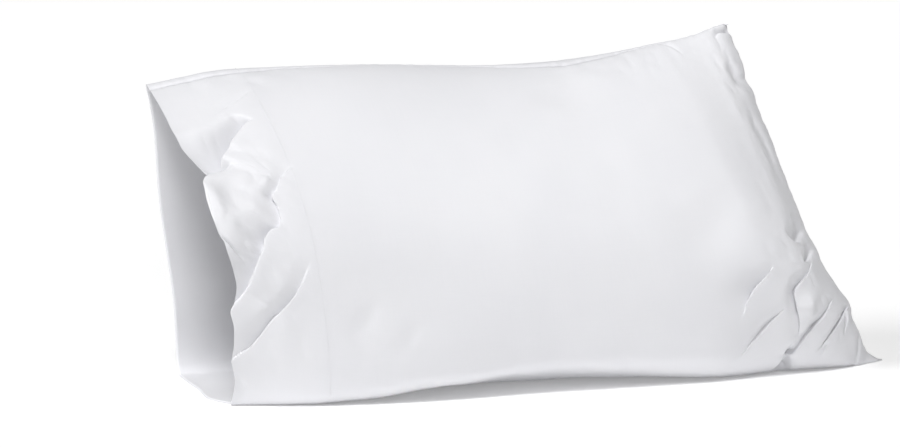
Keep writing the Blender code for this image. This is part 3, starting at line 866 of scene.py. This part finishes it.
@dataclass
class CaseCloth:
    """The case's cloth: a front and a back panel that meet at the top seam and under the base.

    Args:
        shape: the smooth filled shape that the cloth lies on.
        finish: the cloth's looks.
    """

    shape: PlumpShape
    finish: PercaleFinish
    rows: int = 421
    front_columns: int = 301
    back_columns: int = 161
    hem_rows: int = 76
    thickness: float = 0.0005
    ply_gap: float = 0.0014
    sharp_angle: float = 32.0
    wander: float = 0.0030             # how far creases stray from their lines, and over what length
    wander_cell: float = 0.034
    mouth_wave_reach: float = 0.11     # how far the edges' waves reach into the cloth
    end_wave_start: float = 0.69
    end_wave_reach: float = 0.09
    sewn_reach: float = 0.030          # how much of the back follows its sewn edge
    hem_step: float = 0.0002           # how far the single cloth lies below the hem
    hem_step_width: float = 0.008

    def row_places(self) -> Array:
        """Distance of each row from the mouth's edge, closer together at the hem and the closed end."""
        at = np.linspace(0.0, 1.0, 4000)
        by_mouth, by_end = ease(1.0 - at / 0.24), ease((at - 0.66) / 0.14)
        density = 1.0 + 1.3 * by_mouth + 1.0 * by_end
        run = np.concatenate([[0.0], np.cumsum((density[1:] + density[:-1]) / 2.0)])
        return np.interp(np.linspace(0.0, run[-1], self.rows), run, at) * CLOTH_LENGTH

    @staticmethod
    def front_shares(into: Array, columns: int) -> Array:
        """Shares of the front's width for each row's columns, closer together where the folds are."""
        share = np.linspace(0.0, 1.0, 1200)
        hem = ease(1.0 - into / 0.20)[:, None]
        end = ease((into - 0.44) / 0.16)[:, None]
        folds = hem * ease((share - 0.10) / 0.08) * ease((0.84 - share) / 0.12)
        folds = folds + end * ease((share - 0.38) / 0.16)
        density = 1.0 + 1.5 * folds + 1.2 * np.exp(-share / 0.03)
        steps = np.cumsum(density[:, 1:] + density[:, :-1], axis=1)
        run = np.concatenate([np.zeros((len(into), 1)), steps], axis=1)
        wanted = np.linspace(0.0, 1.0, columns)
        return np.stack([np.interp(wanted * line[-1], line, share) for line in run])

    @staticmethod
    def seam_round(into: Array) -> Array:
        """How far down the front the top seam has slipped, at each distance from the mouth."""
        places = np.array([0.0, 0.05, 0.10, 0.15, 0.25, 0.38, 0.44, 0.50, 0.56, 0.62, 0.70, 0.78])
        slips = np.array([0.018, 0.017, 0.014, 0.006, 0.001, 0.004, 0.014, 0.018, 0.010, 0.001, 0.000, 0.000])
        return np.interp(into, places, slips)

    def pressed_in(self, into: Array, rounds: Array) -> tuple[Array, ...]:
        """How the creases and the fine unevenness press and draw the cloth at each place.

        Args:
            into: distance from the mouth's edge of each place.
            rounds: its distance round from the top seam.

        Returns:
            How deep the cloth is pressed, and how far it is drawn into the case and round it.
        """
        noise = Unevenness(SEED)
        bent_into = into + self.wander * noise.at(into, rounds, self.wander_cell)
        bent_rounds = rounds + self.wander * noise.at(rounds, into + 3.0, self.wander_cell)
        pressed = np.zeros((3,) + rounds.shape)
        for crease in CREASES:
            pressed += crease_press(crease, bent_into, bent_rounds)
        for rumple in RUMPLES:
            off_into = (into - rumple.into) / rumple.reach_into
            off_round = (rounds - rumple.around) / rumple.reach_round
            patch = ease(1.0 - np.hypot(off_into, off_round))
            coarse = noise.at(bent_into + 2.0 * rumple.into, bent_rounds, rumple.cell)
            fine = noise.at(bent_rounds, bent_into + rumple.around, 0.45 * rumple.cell)
            pressed[0] -= rumple.height * patch * (np.abs(coarse) * 1.6 - 0.5 + 0.35 * fine)
        return tuple(pressed)

    def seams_in(self, into: Array, rounds: Array, seam: Array) -> Array:
        """How far the two seams and the hem's stitching draw the cloth in at each place."""
        noise = Unevenness(SEED + 1)
        off_top, off_end, off_hem = np.abs(rounds - seam), CLOTH_LENGTH - into, into - HEM_DEPTH
        level = 0.0 * into
        depth = seam_press(TOP_SEAM, off_top, noise.at(into + 0.4 * off_top, level, TOP_SEAM.spacing))
        depth += seam_press(END_SEAM, off_end, noise.at(rounds, level + 5.0, END_SEAM.spacing))
        depth += seam_press(HEM_SEAM, off_hem, noise.at(rounds, level + 9.0, HEM_SEAM.spacing))
        return depth + self.hem_step * ease(0.5 + off_hem / self.hem_step_width)

    def drawn_in(self, into: Array, rounds: Array) -> Array:
        """How far the waves of the mouth and of the closed end move the cloth along x at each place."""
        by_mouth = ease(1.0 - into / self.mouth_wave_reach)
        by_end = ease((into - self.end_wave_start) / self.end_wave_reach)
        mouth = smooth_between(*np.array(MOUTH_WAVES).T, rounds) * by_mouth
        return mouth - smooth_between(*np.array(END_WAVES).T, rounds) * by_end

    def outer_cloth(self) -> Lattice:
        """The outer cloth, from the bottom fold over the back and the top seam to the fold again."""
        into = self.row_places()
        seam = self.seam_round(into)[:, None]
        front = seam + (HALF_ROUND - seam) * self.front_shares(into, self.front_columns)
        back = seam - (HALF_ROUND + seam) * np.linspace(1.0, 0.0, self.back_columns)[None, :]
        rounds = np.concatenate([back[:, :-1], front], axis=1)
        places = np.broadcast_to(into[:, None], rounds.shape)
        smooth = Lattice(self.shape.lattice(into, rounds), places, rounds)
        along, around = smooth.runs()
        depth, drawn_into, drawn_round = self.pressed_in(places, rounds)
        depth += self.seams_in(places, rounds, seam)
        points = smooth.points - depth[..., None] * smooth.normals()
        points += drawn_into[..., None] * along + drawn_round[..., None] * around
        points[..., 0] += self.drawn_in(places, rounds)
        self.sew_end(points, into, rounds[-1])
        points[..., 2] = np.maximum(points[..., 2], 0.0)
        return Lattice(points, places, rounds)

    def sew_end(self, points: Array, into: Array, around: Array) -> None:
        """Bring the back's edge at the closed end onto the front's, and ease the cloth by it along.

        Args:
            points: the outer cloth's points, which this changes.
            into: distance from the mouth's edge of each row.
            around: distance round from the top seam of the closed end's points.
        """
        top = self.back_columns - 1
        edge = points[-1]
        sewn = read_line(-around[:top], around[top:], edge[top:])
        share = ease(1.0 - (CLOTH_LENGTH - into) / self.sewn_reach)
        points[:, :top] += share[:, None, None] * (sewn - edge[:top])

    def build(self) -> list[bpy.types.Object]:
        """Make both panels.

        Returns:
            The front and the back panel.
        """
        cloth = self.turn_hem(self.outer_cloth())
        cells = cloth.cells()
        used = cloth.corners(cells)
        split = self.back_columns - 1
        sides = {
            Panel.FRONT: [cell for cell in cells if cell[1] >= split],
            Panel.BACK: [cell for cell in cells if cell[1] < split],
        }
        return [self.panel(panel, cloth, side, used) for panel, side in sides.items()]

    def turn_hem(self, cloth: Lattice) -> Lattice:
        """Add the hem's inner ply: the cloth turned in at the mouth's edge, as far as the stitching.

        Args:
            cloth: the outer cloth.

        Returns:
            The cloth with the inner ply's rows first.
        """
        picked = slice(self.hem_rows, 0, -1)
        normals = cloth.normals()[picked]
        gap = self.ply_gap * np.minimum(1.0, 0.45 + cloth.into[picked] / 0.004)
        ply = cloth.points[picked] - gap[..., None] * normals
        least = cloth.points[picked][..., 2] + 0.5 * self.ply_gap * (normals[..., 2] < -0.5)
        ply[..., 2] = np.maximum(ply[..., 2], least * (normals[..., 2] < -0.5))
        return Lattice(
            np.concatenate([ply, cloth.points]),
            np.concatenate([-cloth.into[picked], cloth.into]),
            np.concatenate([cloth.rounds[picked], cloth.rounds]),
        )

    def panel(self, panel: Panel, cloth: Lattice, cells: list[tuple[int, int, Cell]],
              used: Array) -> bpy.types.Object:
        """Make one panel.

        Args:
            panel: which panel it is.
            cloth: the whole case's cloth.
            cells: the panel's faces on it.
            used: which of the cloth's points are a corner of a face.

        Returns:
            The panel, with its thickness.
        """
        outlines = [cloth.outline(*cell, used) for cell in cells]
        kept = np.zeros(used.shape, dtype=bool)
        for outline in outlines:
            kept[tuple(zip(*outline))] = True
        index = np.cumsum(kept.ravel()).reshape(kept.shape) - 1
        faces = [[int(index[point]) for point in outline] for outline in outlines]
        mesh = bpy.data.meshes.new(panel.value)
        mesh.from_pydata(cloth.points[kept].tolist(), [], faces)
        flat = np.stack([cloth.into[kept], cloth.rounds[kept]], axis=-1)
        layer = mesh.uv_layers.new(name="flat_cloth")
        corners = np.empty(len(mesh.loops), dtype=np.int32)
        mesh.loops.foreach_get("vertex_index", corners)
        layer.data.foreach_set("uv", flat[corners].ravel().astype(np.float32))
        mesh.shade_smooth()
        mesh.set_sharp_from_angle(angle=radians(self.sharp_angle))
        mesh.materials.append(self.finish.material())
        piece = put_in_scene(panel.value, mesh)
        skin = piece.modifiers.new("cloth_thickness", "SOLIDIFY")
        skin.thickness = self.thickness
        skin.offset = -1.0
        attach(piece, BODY)
        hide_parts(CAD_NODE)
        triangles = sum(2 * (len(face) - 2) for face in faces)
        log.info("%s: %d faces, about %d triangles with both sides", panel.value, len(faces), triangles)
        return piece


@dataclass
class HemStitches:
    """The row of machine stitches that holds the hem, just inside its inner edge.

    Args:
        cloth: the cloth that they are sewn through.
        finish: the thread's looks.
    """

    cloth: CaseCloth
    finish: ThreadFinish
    from_edge: float = 0.0020
    spacing: float = 0.0030
    length: float = 0.0021
    radius: float = 0.00022
    sides: int = 5
    first_at: float = 0.001
    lift: float = 0.00012       # how far a stitch stands over the cloth, and its ends dip into it
    dip: float = 0.00010
    shape: tuple[float, ...] = (0.0, 0.18, 0.82, 1.0)    # its ends and shoulders, along it

    def seam_line(self) -> tuple[Array, Array]:
        """The stitching's line round the case.

        Returns:
            Points along the line, and the cloth's outward direction at each.
        """
        outer = self.cloth.outer_cloth()
        normals = outer.normals()
        wanted = HEM_DEPTH - self.from_edge
        into = outer.into[:, 0]
        row = int(np.searchsorted(into, wanted)) - 1
        share = (wanted - into[row]) / (into[row + 1] - into[row])
        line = (1.0 - share) * outer.points[row] + share * outer.points[row + 1]
        away = (1.0 - share) * normals[row] + share * normals[row + 1]
        return line, unit(away)

    def build(self) -> bpy.types.Object:
        """Make the stitches.

        Returns:
            The stitches, as one piece.
        """
        line, away = self.seam_line()
        run = run_along(line)
        starts = np.arange(self.first_at, run[-1] - self.length, self.spacing)
        turn = 2.0 * np.pi * np.arange(self.sides)[:, None] / self.sides
        verts, faces = [], []
        for start in starts:
            middles = read_line(start + self.length * np.array(self.shape), run, line)
            up = read_line(start, run, away)
            across = np.cross(up, unit(middles[-1] - middles[0]))
            round_it = self.radius * (np.cos(turn) * across + np.sin(turn) * up)
            first, last = len(verts), len(verts) + 2 * self.sides + 1
            verts.append(middles[0] - self.dip * up)
            for middle in middles[1:3]:
                verts += list(middle + self.lift * up + round_it)
            verts.append(middles[-1] - self.dip * up)
            for side in range(self.sides):
                near, after = first + 1 + side, first + 1 + (side + 1) % self.sides
                faces.append((first, near, after))
                faces.append((near, near + self.sides, after + self.sides, after))
                faces.append((last, after + self.sides, near + self.sides))
        mesh = bpy.data.meshes.new("hem_stitches")
        mesh.from_pydata([(float(x), float(y), max(float(z), 0.0)) for x, y, z in verts], [], faces)
        mesh.shade_smooth()
        mesh.materials.append(self.finish.material())
        piece = put_in_scene("hem_stitches", mesh)
        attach(piece, BODY)
        log.info("hem_stitches: %d stitches, %d faces", len(starts), len(faces))
        return piece


class Lamp(NamedTuple):
    """A wide soft light from far off."""

    name: str
    strength: float    # in watts a square metre
    angle: float       # how wide it is, in degrees
    come_from: tuple[float, float, float]


LAMPS = (
    #    name       strength angle come_from
    Lamp("key_light", 2.41, 18.0, (-0.21, -0.45, 0.87)),
    Lamp("side_light", 1.45, 24.0, (-0.80, -0.27, 0.54)),
    Lamp("low_light", 0.55, 20.0, (-0.08, -0.96, 0.26)),
)


@dataclass
class Studio:
    """A pale floor, soft light and the camera.

    Args:
        middle: what to take off the camera's x and y, as for the case.
    """

    middle: tuple[float, float]
    sky: float = 0.01
    floor_size: float = 60.0
    floor_place: tuple[float, float, float] = (0.0, 20.0, -0.0006)
    floor_colour: tuple[float, float, float, float] = (0.95, 0.95, 0.95, 1.0)
    floor_roughness: float = 0.9
    floor_glow: float = 0.13
    camera_place: tuple[float, float, float] = (-0.406, -2.989, 0.635)
    camera_yaw: float = 12.6      # in degrees, to the right of the y axis
    camera_pitch: float = 8.5     # and down
    sensor_width: float = 36.0
    lens: float = 110.6

    def build(self) -> None:
        """Make the floor, the lights and the camera."""
        self.add_floor()
        self.add_light()
        self.add_camera()

    def add_floor(self) -> None:
        """A wide pale floor, just under the case."""
        bpy.ops.mesh.primitive_plane_add(size=self.floor_size, location=self.floor_place)
        floor = bpy.context.object
        floor.name = "floor"
        floor.data.materials.append(Wiring("pale_floor").finish({
            "Base Color": self.floor_colour,
            "Roughness": self.floor_roughness,
            "Emission Color": (1.0, 1.0, 1.0, 1.0),
            "Emission Strength": self.floor_glow,
        }))

    def add_light(self) -> None:
        """A soft light high in front, wider ones on the left and low in front, and an even sky."""
        world = bpy.data.worlds.new("studio_sky")
        world.use_nodes = True
        background = world.node_tree.nodes["Background"]
        background.inputs["Color"].default_value = (1.0, 1.0, 1.0, 1.0)
        background.inputs["Strength"].default_value = self.sky
        bpy.context.scene.world = world
        bpy.context.scene.view_settings.view_transform = "Standard"
        for lamp in LAMPS:
            data = bpy.data.lights.new(lamp.name, "SUN")
            data.energy = lamp.strength
            data.angle = radians(lamp.angle)
            light = put_in_scene(lamp.name, data)
            light.rotation_euler = Vector(lamp.come_from).to_track_quat("Z", "Y").to_euler()

    def add_camera(self) -> None:
        """The camera, by the mouth's side of the front, looking a little down."""
        data = bpy.data.cameras.new("camera")
        data.sensor_width = self.sensor_width
        data.lens = self.lens
        camera = put_in_scene("camera", data)
        x, y, z = self.camera_place
        camera.location = (x - self.middle[0], y - self.middle[1], z)
        camera.rotation_euler = (radians(90.0) - radians(self.camera_pitch), 0.0, -radians(self.camera_yaw))
        bpy.context.scene.camera = camera


def main() -> None:
    """Build the case's cloth and the studio."""
    logging.basicConfig(level=logging.INFO, format="%(name)s: %(message)s")
    cloth = CaseCloth(PlumpShape(MIDDLE), PercaleFinish())
    cloth.build()
    HemStitches(cloth, ThreadFinish()).build()
    Studio(middle=MIDDLE).build()


if __name__ == "__main__":
    main()
